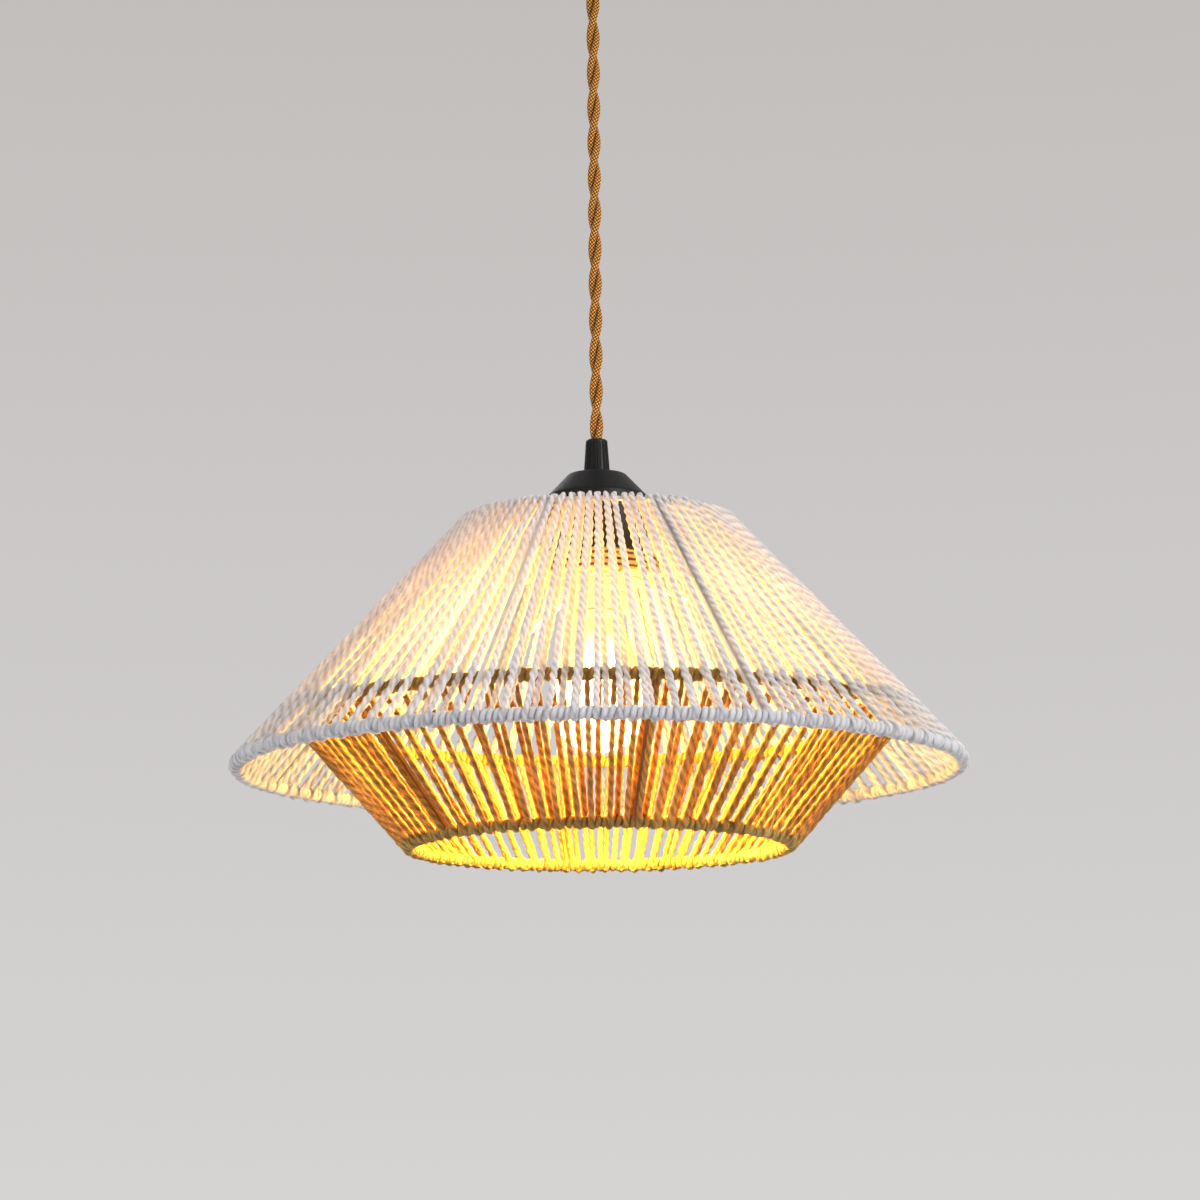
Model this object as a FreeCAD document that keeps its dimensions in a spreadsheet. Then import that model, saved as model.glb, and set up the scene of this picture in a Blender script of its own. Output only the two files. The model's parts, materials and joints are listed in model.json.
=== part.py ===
"""Hanging lantern: a wide rope-covered shade with an inverted inner shade, hung on a twisted cord.

The origin is on the ceiling, at the middle of the mounting bracket's upper face. +Z points up, so
everything hangs below zero. Azimuths run from the front (-Y) towards +X. Lengths are millimetres.
"""
import FreeCAD, Part
import Sketcher
import math
import os
import re

SIZES = {
    # Ceiling bracket and canopy
    "canopy_radius": 60, "canopy_height": 26, "canopy_wall": 1, "canopy_round": 5,
    "bracket_width": 16, "bracket_thickness": 1.5, "bracket_gap": 1.2, "ear_height": 19,
    "slot_spacing": 70, "slot_width": 4.6, "slot_length": 14,
    "side_screw_radius": 2, "side_screw_level": 13, "side_screw_head": 4, "side_screw_head_length": 5,
    "terminal_length": 26, "terminal_width": 16, "terminal_height": 10, "terminal_screw_radius": 1.6,
    # Cord, its grips and its two cores
    "cord_radius": 4.2, "cord_length": 307, "cord_inset": 2, "core_radius": 1.3, "core_offset": 2,
    "canopy_grip_length": 16, "canopy_grip_radius": 8.6, "canopy_mouth_flare": 2.2, "stem_length": 10,
    "canopy_grip_clearance": 0.4, "canopy_grip_taper": 1, "canopy_taper_height": 3, "stem_seat": 2,
    "grip_length": 22, "grip_top_radius": 6.7, "grip_bottom_radius": 8.2, "grip_mouth_flare": 1.5,
    "grip_clearance": 0.5, "grip_edge": 0.8, "flute_radius": 0.5, "flute_count": 22, "flute_start": 2,
    "clamp_screw_radius": 1.3, "clamp_screw_gap": 0.2, "clamp_screw_proud": 0.8, "nipple_gap": 1,
    "thread_radius": 5, "thread_bore": 3.9, "nut_radius": 8.5, "nut_height": 4, "nipple_length": 42,
    "thread_clearance": 0.1, "turning_clearance": 0.3,
    # Lamp cap and lampholder
    "cap_top_radius": 17.8, "cap_radius": 31, "cap_slope": 14, "cap_height": 51, "cap_wall": 1.5,
    "cap_round": 3, "holder_radius": 19.5, "holder_wall": 2.2, "holder_drop": 20, "holder_height": 66,
    "collar_radius": 38, "collar_height": 12, "collar_level": 53.5, "collar_groove": 0.9,
    "holder_chamfer": 3, "holder_lip": 2, "inner_chamfer": 2, "inner_chamfer_height": 1.8,
    "core_height": 7, "core_depth": 26, "socket_radius": 13.4, "socket_wall": 0.5,
    "contact_radius": 3.2, "contact_height": 1.6, "holder_screw_radius": 2.2, "holder_screw_height": 3.4,
    "holder_screw_offset": 10, "ring_wall": 4.5, "ring_height": 7.5, "notch_radius": 1.1,
    "notch_depth": 0.7, "notch_count": 24,
    # Bulb
    "bulb_radius": 30, "bulb_neck_height": 56, "bulb_flare": 17, "bulb_wall": 0.8,
    "bulb_thread_radius": 13.1, "bulb_base_height": 22, "bulb_insulator_height": 2.4,
    "bulb_tip_radius": 4.6, "bulb_tip_height": 1.2, "bulb_lip": 1.4, "insulator_margin": 2,
    "led_post_radius": 5, "led_post_height": 34, "post_foot_height": 3,
    # Spider that carries the shade
    "hub_rim": 3, "hub_thickness": 2, "arm_width": 4, "arm_thickness": 2, "arm_drop": 20,
    "arm_count": 4, "arm_overlap": 3,
    # Outer shade
    "outer_top_radius": 81.5, "outer_bottom_radius": 220.7, "outer_drop": 150.7,
    "outer_wire_radius": 1.5, "outer_wrap_radius": 4.3, "outer_top_level": 31.6,
    "outer_strut_width": 3, "outer_strut_thickness": 2.4, "outer_strut_count": 8,
    # Inner shade
    "inner_bottom_radius": 116.2, "inner_top_level": 122.4, "inner_drop": 76.3,
    "inner_wire_radius": 1.4, "inner_wrap_radius": 3.75, "inner_strut_width": 3.2,
    "inner_strut_thickness": 2, "inner_strut_count": 6, "shade_gap": 0.15, "link_radius": 1.2,
    "rope_clearance": 0.3,
}

FRONT = -90           # angle from +X of the front, azimuth 0
OUTER_STRUTS = -20    # azimuth of one outer strut
INNER_STRUTS = 10     # azimuth of one inner strut
ARMS = 25             # azimuth of one spider arm, which ends on an outer strut
BEND_SHARE = 0.45     # share of a core's shorter run that its bend takes
SAME = 0.01           # two sizes closer than this are one edge

# Levels, as expressions of the sizes. The lamp hangs from the lower end of the cord.
CANOPY_GRIP_END = "(-canopy_height - canopy_grip_length)"
LAMP_TOP = f"({CANOPY_GRIP_END} - cord_length)"
CAP_TOP = f"({LAMP_TOP} - grip_length)"
HOLDER_TOP = f"({CAP_TOP} - holder_drop)"
HOLDER_END = f"({HOLDER_TOP} - holder_height)"
CORE_BOTTOM = f"({HOLDER_END} + core_depth)"
COLLAR_TOP = f"({CAP_TOP} - collar_level)"
HUB_TOP = f"({COLLAR_TOP} - collar_height - turning_clearance)"
RING_TOP = f"({HUB_TOP} - hub_thickness - turning_clearance)"
OUTER_TOP = f"({CAP_TOP} - outer_top_level)"
OUTER_END = f"({OUTER_TOP} - outer_drop)"
INNER_TOP = f"({OUTER_TOP} - inner_top_level)"
INNER_END = f"({INNER_TOP} - inner_drop)"
BULB_TOP = f"({HOLDER_END} - bulb_lip)"
BULB_CENTRE = f"({BULB_TOP} - bulb_neck_height)"

RING_RADIUS = "(holder_radius + ring_wall)"
HUB_RADIUS = f"({RING_RADIUS} + hub_rim)"

# Cone slopes: radius gained per millimetre of drop, and horizontal width per millimetre of thickness
OUTER_SPREAD = "(outer_bottom_radius - outer_top_radius) / outer_drop"
OUTER_LEAN = f"sqrt(1 + ({OUTER_SPREAD})^2)"
INNER_TOP_RADIUS = (f"(outer_top_radius + inner_top_level * {OUTER_SPREAD}"
                    f" - (outer_wrap_radius + inner_wrap_radius + shade_gap) * {OUTER_LEAN})")
INNER_SPREAD = f"(inner_bottom_radius - {INNER_TOP_RADIUS}) / inner_drop"
ARM_END_RADIUS = (f"(outer_top_radius + ({OUTER_TOP} - {HUB_TOP} + hub_thickness / 2 + arm_drop)"
                  f" * {OUTER_SPREAD})")

doc = FreeCAD.newDocument("HangingLantern")
sheet = doc.addObject("Spreadsheet::Sheet", "Sizes")
nodes = []


def fill_sheet():
    """One cell for each driving size, under its own name."""
    for row, (name, value) in enumerate(SIZES.items(), start=1):
        sheet.set(f"B{row}", str(value))
        sheet.setAlias(f"B{row}", name)
    doc.recompute()


def sized(text):
    """The expression with each size name pointed at its cell."""
    def cell(word):
        return f"Sizes.{word[0]}" if word[0] in SIZES else word[0]
    return re.sub(r"[a-z_]+", cell, str(text))


def bind(thing, **expressions):
    for name, text in expressions.items():
        thing.setExpression(name.replace("__", "."), sized(text))


def value(text):
    """The number that an expression of sizes gives."""
    probe = doc.getObject("Probe") or doc.addObject("App::FeaturePython", "Probe")
    if "Reading" not in probe.PropertiesList:
        probe.addProperty("App::PropertyFloat", "Reading")
    bind(probe, Reading=text)
    probe.recompute()
    return probe.Reading


def node(thing, label):
    """Marks a finished sub-part, which is written to a file of that name."""
    thing.Label = label
    nodes.append(thing)
    return thing


def solid(kind, name, level="0", across="0", **expressions):
    """A Part primitive standing at a level, with its sizes bound to the sheet."""
    made = doc.addObject(f"Part::{kind}", name)
    bind(made, **expressions, Placement__Base__z=level, Placement__Base__x=across)
    return made


def cylinder(name, radius, height, level, across="0"):
    return solid("Cylinder", name, level, across, Radius=radius, Height=height)


def cone(name, lower, upper, height, level):
    return solid("Cone", name, level, Radius1=lower, Radius2=upper, Height=height)


def torus(name, radius, thickness, level):
    return solid("Torus", name, level, Radius1=radius, Radius2=thickness)


def cut(name, base, *tools):
    for number, tool in enumerate(tools, start=1):
        made = doc.addObject("Part::Cut", name if number == len(tools) else f"{name}_step{number}")
        made.Base, made.Tool = base, tool
        base = made
    return made


def fuse(name, *shapes):
    made = doc.addObject("Part::MultiFuse", name)
    made.Shapes = list(shapes)
    return made


def tube(name, outside, inside, height, level):
    return cut(name, cylinder(f"{name}_outside", outside, height, level),
               cylinder(f"{name}_inside", inside, height, level))


def turned(thing, azimuth):
    """Turns a piece drawn at +X round to its azimuth."""
    thing.Placement = FreeCAD.Placement(thing.Placement.Base,
                                        FreeCAD.Rotation(FreeCAD.Vector(0, 0, 1), FRONT + azimuth))
    return thing


def new_sketch(body, plane, name):
    sketch = body.newObject("Sketcher::SketchObject", name)
    support = next(item for item in body.Origin.OriginFeatures if item.Role == plane)
    sketch.AttachmentSupport = [(support, "")]
    sketch.MapMode = "FlatFace"
    return sketch


def hold(sketch, element, corner, across, up, start):
    """Holds a sketch point at two bound distances from the origin."""
    for kind, text, now in (("DistanceX", across, start[0]), ("DistanceY", up, start[1])):
        index = sketch.addConstraint(Sketcher.Constraint(kind, -1, 1, element, corner, now))
        sketch.setExpression(f"Constraints[{index}]", sized(text))


def outline(body, plane, name, corners):
    """A closed outline of straight sides, each corner held by two expressions."""
    sketch = new_sketch(body, plane, name)
    count = len(corners)
    starts = [(10 * math.cos(2 * math.pi * i / count), 10 * math.sin(2 * math.pi * i / count))
              for i in range(count)]
    for i in range(count):
        ends = [FreeCAD.Vector(*starts[k % count], 0) for k in (i, i + 1)]
        sketch.addGeometry(Part.LineSegment(*ends))
    for i in range(count):
        sketch.addConstraint(Sketcher.Constraint("Coincident", i, 2, (i + 1) % count, 1))
    for i, (across, up) in enumerate(corners):
        hold(sketch, i, 1, across, up, starts[i])
    return sketch


def circle(body, plane, name, radius, across="0", up="0"):
    sketch = new_sketch(body, plane, name)
    sketch.addGeometry(Part.Circle(FreeCAD.Vector(1, 1, 0), FreeCAD.Vector(0, 0, 1), 2))
    hold(sketch, 0, 3, across, up, (1, 1))
    index = sketch.addConstraint(Sketcher.Constraint("Radius", 0, 2))
    sketch.setExpression(f"Constraints[{index}]", sized(radius))
    return sketch


def revolved(name, corners):
    """A body of revolution about Z from its outline in the XZ plane."""
    body = doc.addObject("PartDesign::Body", name)
    turn = body.newObject("PartDesign::Revolution", f"{name}_turn")
    profile = outline(body, "XZ_Plane", f"{name}_profile", corners)
    turn.Profile = profile
    turn.ReferenceAxis = (profile, ["V_Axis"])
    turn.Angle = 360
    body.Tip = turn
    return body


def padded(body, name, profile, length):
    pad = body.newObject("PartDesign::Pad", name)
    pad.Profile = profile
    pad.SideType = "Symmetric"
    bind(pad, Length=length)
    return pad


def pocketed(body, name, profile):
    """A cut right through the body, both ways from its sketch."""
    doc.recompute()
    before = body.Shape.Volume
    pocket = body.newObject("PartDesign::Pocket", name)
    pocket.Profile = profile
    pocket.SideType = "Symmetric"
    pocket.Type = "ThroughAll"
    doc.recompute()
    if not body.Shape.Volume < before:
        raise RuntimeError(f"{name} cuts nothing")
    return pocket


def rounded(body, name, radius, wanted):
    """Rounds the body's circular edges whose radius and level satisfy wanted."""
    doc.recompute()
    base = body.Tip
    edges = [f"Edge{i}" for i, edge in enumerate(base.Shape.Edges, start=1)
             if hasattr(edge.Curve, "Radius") and wanted(edge.Curve.Radius, edge.Curve.Center.z)]
    fillet = body.newObject("PartDesign::Fillet", name)
    fillet.Base = (base, edges)
    bind(fillet, Radius=radius)
    body.Tip = fillet


def bars(label, corners, width, count, azimuth):
    """Flat bars round the axis, from one bar's outline in the XZ plane."""
    body = doc.addObject("PartDesign::Body", label)
    body.AllowCompound = True
    pad = padded(body, f"{label}_bar", outline(body, "XZ_Plane", f"{label}_side", corners), width)
    body.Tip = pad
    doc.recompute()
    pattern = body.newObject("PartDesign::PolarPattern", f"{label}_round")
    pattern.Originals = [pad]
    axis = next(item for item in body.Origin.OriginFeatures if item.Role == "Z_Axis")
    pattern.Axis = (axis, [""])
    pattern.Angle = 360
    bind(pattern, Occurrences=count)
    body.Tip = pattern
    return node(turned(body, azimuth), label)


def core_pair(label, points):
    """Two insulated cores, mirror images, along straight runs joined by tangent arcs."""
    radius = value("core_radius")
    shapes = []
    for side in (-1, 1):
        path = [FreeCAD.Vector(side * value(x), 0, value(z)) for x, z in points]
        runs = [path[0]]
        edges = []
        for before, bend, after in zip(path, path[1:], path[2:]):
            back, ahead = (before - bend).normalize(), (after - bend).normalize()
            reach = BEND_SHARE * min(before.distanceToPoint(bend), after.distanceToPoint(bend))
            start, end = bend + back * reach, bend + ahead * reach
            inward = (back + ahead).normalize()
            half_turn = (math.pi - back.getAngle(ahead)) / 2
            arc_radius = reach / math.tan(half_turn)
            centre = bend + inward * (arc_radius / math.cos(half_turn))
            edges.append(Part.LineSegment(runs[-1], start).toShape())
            edges.append(Part.Arc(start, centre - inward * arc_radius, end).toShape())
            runs.append(end)
        edges.append(Part.LineSegment(runs[-1], path[-1]).toShape())
        section = Part.Wire(Part.Circle(path[0], path[1] - path[0], radius).toShape())
        shapes.append(Part.Wire(edges).makePipeShell([section], True, True))
    cores = doc.addObject("Part::Feature", label)
    cores.Shape = Part.makeCompound(shapes)
    return node(cores, label)


# ---- Ceiling bracket and canopy ----

def ceiling_bracket():
    """A strap bent down at both ends, with a slot for each ceiling screw."""
    half = "(canopy_radius - canopy_wall - bracket_gap)"
    body = doc.addObject("PartDesign::Body", "ceiling_bracket")
    side = outline(body, "XZ_Plane", "bracket_side", [
        (f"-{half}", "0"), (half, "0"), (half, "-ear_height"),
        (f"{half} - bracket_thickness", "-ear_height"),
        (f"{half} - bracket_thickness", "-bracket_thickness"),
        (f"-{half} + bracket_thickness", "-bracket_thickness"),
        (f"-{half} + bracket_thickness", "-ear_height"), (f"-{half}", "-ear_height")])
    body.Tip = padded(body, "bracket_strap", side, "bracket_width")
    doc.recompute()
    half_run = "(slot_length - slot_width) / 2"
    for sign, word in ((-1, "left"), (1, "right")):
        middle = f"{sign} * slot_spacing / 2"
        slot = outline(body, "XY_Plane", f"slot_{word}", [
            (f"{middle} - {half_run}", "-slot_width / 2"), (f"{middle} + {half_run}", "-slot_width / 2"),
            (f"{middle} + {half_run}", "slot_width / 2"), (f"{middle} - {half_run}", "slot_width / 2")])
        body.Tip = pocketed(body, f"slot_{word}_cut", slot)
        for end in (-1, 1):
            side_word = "near" if end < 0 else "far"
            ring = circle(body, "XY_Plane", f"slot_{word}_{side_word}", "slot_width / 2",
                          f"{middle} + {end} * {half_run}")
            body.Tip = pocketed(body, f"slot_{word}_{side_word}_cut", ring)
    hole = circle(body, "YZ_Plane", "ear_hole", "side_screw_radius", "0", "-side_screw_level")
    body.Tip = pocketed(body, "ear_holes", hole)
    return node(body, "ceiling_bracket")


def canopy():
    """The cup that covers the ceiling box, with its side screws, grip and nut."""
    inner = "(canopy_radius - canopy_wall)"
    hole = "(thread_radius + thread_clearance)"
    cup = revolved("canopy_cup", [
        (hole, "-canopy_height"), ("canopy_radius", "-canopy_height"), ("canopy_radius", "0"),
        (inner, "0"), (inner, "canopy_wall - canopy_height"), (hole, "canopy_wall - canopy_height")])
    outside = value("canopy_radius")
    inside = value(inner)
    rounded(cup, "cup_outer_round", "canopy_round",
            lambda radius, level: abs(radius - outside) < SAME and level < -1)
    rounded(cup, "cup_inner_round", "canopy_round - canopy_wall",
            lambda radius, level: abs(radius - inside) < SAME and level < -1)
    side = circle(cup, "YZ_Plane", "cup_side_hole", "side_screw_radius + thread_clearance", "0",
                  "-side_screw_level")
    cup.Tip = pocketed(cup, "cup_side_holes", side)
    node(cup, "canopy_cup")

    shanks = []
    for sign, word in ((-1, "left"), (1, "right")):
        reach = "(canopy_wall + bracket_gap + 2 * bracket_thickness)"
        shank = doc.addObject("Part::Cylinder", f"side_screw_{word}_shank")
        head = doc.addObject("Part::Cylinder", f"side_screw_{word}_head")
        for piece, radius, length in ((shank, "side_screw_radius", reach),
                                      (head, "side_screw_head", "side_screw_head_length")):
            piece.Placement.Rotation = FreeCAD.Rotation(FreeCAD.Vector(0, 1, 0), 90 * sign)
            start = f"canopy_radius - {reach}" if piece is shank else "canopy_radius"
            bind(piece, Radius=radius, Height=length, Placement__Base__z="-side_screw_level",
                 Placement__Base__x=f"{sign} * ({start})")
        shanks += [shank, head]
    node(fuse("canopy_screws", *shanks), "canopy_screws")

    bore = "(cord_radius + canopy_grip_clearance)"
    mouth = "(cord_radius + canopy_mouth_flare)"
    stem_top = "(stem_length - canopy_height)"
    node(revolved("canopy_grip", [
        ("thread_bore", stem_top), ("thread_radius", stem_top), ("thread_radius", "-canopy_height"),
        ("canopy_grip_radius", "-canopy_height"),
        ("canopy_grip_radius", f"{CANOPY_GRIP_END} + canopy_taper_height"),
        ("canopy_grip_radius - canopy_grip_taper", CANOPY_GRIP_END), (mouth, CANOPY_GRIP_END),
        (bore, f"{CANOPY_GRIP_END} + 2 * cord_inset"), (bore, "-canopy_height - stem_seat"),
        ("thread_bore", "-canopy_height")]), "canopy_grip")
    node(nut("canopy_nut", "canopy_wall - canopy_height"), "canopy_nut")


def nut(name, level):
    block = solid("Prism", f"{name}_block", level, Circumradius="nut_radius", Height="nut_height")
    block.Polygon = 6
    return cut(name, block, cylinder(f"{name}_bore", "thread_radius + thread_clearance", "nut_height",
                                     level))


def terminals():
    """The block under the strap that joins the cord's cores to the house wiring."""
    level = "(-bracket_thickness - terminal_height)"
    block = doc.addObject("Part::Box", "terminal_body")
    bind(block, Length="terminal_length", Width="terminal_width", Height="terminal_height",
         Placement__Base__x="-terminal_length / 2", Placement__Base__y="-terminal_width / 2",
         Placement__Base__z=level)
    tools = []
    screws = []
    for sign in (-1, 1):
        for row in (-1, 1):
            spot = {"Placement__Base__x": f"{sign} * terminal_length / 4",
                    "Placement__Base__y": f"{row} * terminal_width / 4"}
            name = f"{'left' if sign < 0 else 'right'}_{'front' if row < 0 else 'back'}"
            tool = doc.addObject("Part::Cylinder", f"terminal_well_{name}")
            screw = doc.addObject("Part::Cylinder", f"terminal_screw_{name}")
            for piece, growth in ((tool, "+ thread_clearance"), (screw, "")):
                bind(piece, Radius=f"terminal_screw_radius {growth}", Height="terminal_height / 2",
                     Placement__Base__z=level, **spot)
            tools.append(tool)
            screws.append(screw)
    node(cut("terminal_block", block, fuse("terminal_wells", *tools)), "terminal_block")
    node(fuse("terminal_screws", *screws), "terminal_screws")


# ---- Cord and lamp grip ----

def cord():
    """The twisted cord's overall tube, from inside one grip's mouth to inside the other's."""
    node(cylinder("cord", "cord_radius", "cord_length + 2 * cord_inset",
                  f"{LAMP_TOP} - cord_inset"), "cord")
    core_pair("canopy_leads", [("core_offset", f"{CANOPY_GRIP_END} + 2 * cord_inset"),
                               ("core_offset", "-bracket_thickness - terminal_height")])


def lamp_grip():
    """The fluted, tapered grip that holds the lower end of the cord."""
    bottom = f"({CAP_TOP} + turning_clearance)"
    thread_top = f"({bottom} + grip_length / 2)"
    screw_level = f"({LAMP_TOP} - grip_length / 3)"
    bore = "(thread_radius + turning_clearance)"
    cord_bore = "(cord_radius + grip_clearance)"
    core = revolved("grip_core", [
        ("cord_radius + grip_mouth_flare", LAMP_TOP), ("grip_top_radius - grip_edge", LAMP_TOP),
        ("grip_top_radius", f"{LAMP_TOP} - grip_edge"), ("grip_bottom_radius", bottom), (bore, bottom),
        (bore, thread_top), (cord_bore, thread_top), (cord_bore, f"{LAMP_TOP} - 2 * cord_inset")])
    flutes = doc.addObject("Part::Feature", "grip_flutes")
    top, low = value(LAMP_TOP), value(bottom)
    start = FreeCAD.Vector(value("grip_top_radius"), 0, top - value("flute_start"))
    end = FreeCAD.Vector(value("grip_bottom_radius"), 0, low)
    length = start.distanceToPoint(end) + 2 * value("flute_radius")
    flute = Part.makeCylinder(value("flute_radius"), length, start, end - start)
    count = int(value("flute_count"))
    copies = [flute.rotated(FreeCAD.Vector(), FreeCAD.Vector(0, 0, 1), 360 * (i + 0.5) / count)
              for i in range(count)]
    flutes.Shape = Part.makeCompound(copies)
    well = doc.addObject("Part::Cylinder", "clamp_screw_well")
    screw = doc.addObject("Part::Cylinder", "grip_clamp_screw")
    reach = "(grip_top_radius + clamp_screw_proud - clamp_screw_gap - cord_radius)"
    for piece, growth in ((well, "+ thread_clearance"), (screw, "")):
        piece.Placement.Rotation = FreeCAD.Rotation(FreeCAD.Vector(1, 0, 0), -90)
        bind(piece, Radius=f"clamp_screw_radius {growth}", Height=reach,
             Placement__Base__y="cord_radius + clamp_screw_gap", Placement__Base__z=screw_level)
    node(cut("lamp_grip", core, flutes, well), "lamp_grip")
    node(screw, "grip_clamp_screw")


# ---- Lamp head ----

def lamp_head():
    """Nipple, cap, nut and lampholder, stacked on the axis below the grip."""
    nipple_top = f"({CAP_TOP} + grip_length / 2 - nipple_gap)"
    node(tube("threaded_nipple", "thread_radius", "thread_bore", "nipple_length",
              f"{nipple_top} - nipple_length"), "threaded_nipple")

    hole = "(thread_radius + thread_clearance)"
    under = f"({CAP_TOP} - cap_wall)"
    cap = revolved("lamp_cap", [
        (hole, CAP_TOP), ("cap_top_radius", CAP_TOP), ("cap_radius", f"{CAP_TOP} - cap_slope"),
        ("cap_radius", f"{CAP_TOP} - cap_height"), ("cap_radius - cap_wall", f"{CAP_TOP} - cap_height"),
        ("cap_radius - cap_wall", f"{CAP_TOP} - cap_slope - cap_wall / 2"),
        ("cap_top_radius - cap_wall / 2", under), (hole, under)])
    shoulder, side = value("cap_top_radius"), value("cap_radius")
    middle = value(f"{CAP_TOP} - cap_height / 2")
    rounded(cap, "cap_shoulder_round", "cap_round", lambda radius, level: level > middle and (
        abs(radius - shoulder) < SAME or abs(radius - side) < SAME))
    node(cap, "lamp_cap")
    node(nut("cap_nut", f"{under} - nut_height"), "cap_nut")

    inner = "(holder_radius - holder_wall)"
    lip = "(socket_radius + socket_wall + turning_clearance)"
    ceiling = f"({HOLDER_TOP} - holder_wall)"
    node(revolved("lampholder", [
        (hole, HOLDER_TOP), ("holder_radius - holder_chamfer", HOLDER_TOP),
        ("holder_radius", f"{HOLDER_TOP} - holder_chamfer"), ("holder_radius", HOLDER_END),
        (lip, HOLDER_END), (lip, f"{HOLDER_END} + holder_lip"), (inner, f"{HOLDER_END} + holder_lip"),
        (inner, f"{ceiling} - inner_chamfer_height"), (f"{inner} - inner_chamfer", ceiling),
        (hole, ceiling)]), "lampholder")
    node(cylinder("holder_core", f"{inner} - thread_clearance", "core_height", CORE_BOTTOM),
         "holder_core")
    node(tube("socket_shell", "socket_radius + socket_wall", "socket_radius",
              "core_depth - socket_wall", f"{HOLDER_END} + socket_wall"), "socket_shell")
    node(cylinder("centre_contact", "contact_radius", "contact_height",
                  f"{CORE_BOTTOM} - contact_height"), "centre_contact")
    screws = [cylinder(f"holder_screw_{word}", "holder_screw_radius", "holder_screw_height",
                       f"{CORE_BOTTOM} + core_height", f"{sign} * holder_screw_offset")
              for sign, word in ((-1, "left"), (1, "right"))]
    node(fuse("holder_screws", *screws), "holder_screws")
    screw_top = f"({CORE_BOTTOM} + core_height + holder_screw_height)"
    core_pair("holder_leads", [
        ("core_offset", f"{LAMP_TOP} - 3 * cord_inset"),
        ("core_offset", f"{nipple_top} - nipple_length - 3 * core_radius"),
        ("holder_screw_offset", f"{screw_top} + 5 * core_radius"), ("holder_screw_offset", screw_top)])


def collar_and_ring():
    """The grooved collar above the shade's hub and the threaded ring below it."""
    bore = "(holder_radius + thread_clearance)"
    collar_end = f"({COLLAR_TOP} - collar_height)"
    outside = [("collar_radius", COLLAR_TOP)]
    for number in (1, 2, 3):
        level = f"{COLLAR_TOP} - collar_height * {number} / 4"
        outside += [("collar_radius", f"{level} + collar_groove"), ("collar_radius - collar_groove", level),
                    ("collar_radius", f"{level} - collar_groove")]
    outside.append(("collar_radius", collar_end))
    node(revolved("holder_collar", [(bore, collar_end), (bore, COLLAR_TOP), *outside]), "holder_collar")
    running = "(holder_radius + turning_clearance)"
    ring_end = f"({RING_TOP} - ring_height)"
    grips = doc.addObject("Part::Feature", "ring_notches")
    across = value(f"{RING_RADIUS} + notch_radius - notch_depth")
    notch = Part.makeCylinder(value("notch_radius"), value("ring_height"),
                              FreeCAD.Vector(across, 0, value(ring_end)))
    count = int(value("notch_count"))
    grips.Shape = Part.makeCompound([
        notch.rotated(FreeCAD.Vector(), FreeCAD.Vector(0, 0, 1), 360 * i / count) for i in range(count)])
    node(cut("shade_ring", tube("ring_blank", RING_RADIUS, running, "ring_height", ring_end), grips),
         "shade_ring")


def bulb():
    """A screw-in lamp: glass, threaded base, insulator, tip and the post that holds its filaments."""
    def glass(name, wall):
        radius = f"(bulb_radius - {wall})"
        rise = f"{radius} * sin(bulb_flare * 1deg)"
        wide = f"{radius} * cos(bulb_flare * 1deg)"
        neck = f"({wide} - (bulb_neck_height - {rise}) * tan(bulb_flare * 1deg))"
        ball = solid("Sphere", f"{name}_ball", BULB_CENTRE, Radius=radius)
        return fuse(name, ball, cone(f"{name}_neck", wide, neck, f"bulb_neck_height - {rise}",
                                     f"{BULB_CENTRE} + {rise}"))
    node(cut("bulb_glass", glass("glass_outside", "0"), glass("glass_inside", "bulb_wall")),
         "bulb_glass")
    base_top = f"({BULB_TOP} + bulb_base_height)"
    node(tube("bulb_base", "bulb_thread_radius", "bulb_thread_radius - socket_wall", "bulb_base_height",
              BULB_TOP), "bulb_base")
    node(cone("bulb_insulator", "bulb_thread_radius", "bulb_tip_radius + insulator_margin",
              "bulb_insulator_height", base_top), "bulb_insulator")
    node(cylinder("bulb_tip", "bulb_tip_radius", "bulb_tip_height",
                  f"{base_top} + bulb_insulator_height"), "bulb_tip")
    post = cone("post_stem", "led_post_radius / 2", "led_post_radius", "led_post_height",
                f"{BULB_TOP} - led_post_height")
    foot = cylinder("post_foot", "bulb_thread_radius - 2 * socket_wall", "post_foot_height", BULB_TOP)
    node(fuse("bulb_post", post, foot), "bulb_post")


# ---- Shades ----

def spider():
    """The hub disc on the lampholder and the arms out to the outer frame's struts."""
    node(tube("spider_hub", HUB_RADIUS, "holder_radius + turning_clearance", "hub_thickness",
              f"{HUB_TOP} - hub_thickness"), "spider_hub")
    middle = f"({HUB_TOP} - hub_thickness / 2)"
    half = "arm_thickness / 2"
    bars("spider_arms", [
        (f"{HUB_RADIUS} - arm_overlap", f"{middle} + {half}"), (HUB_RADIUS, f"{middle} + {half}"),
        (ARM_END_RADIUS, f"{middle} - arm_drop + {half}"),
        (ARM_END_RADIUS, f"{middle} - arm_drop - {half}"),
        (HUB_RADIUS, f"{middle} - {half}"), (f"{HUB_RADIUS} - arm_overlap", f"{middle} - {half}")],
        "arm_width", "arm_count", ARMS)


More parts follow.
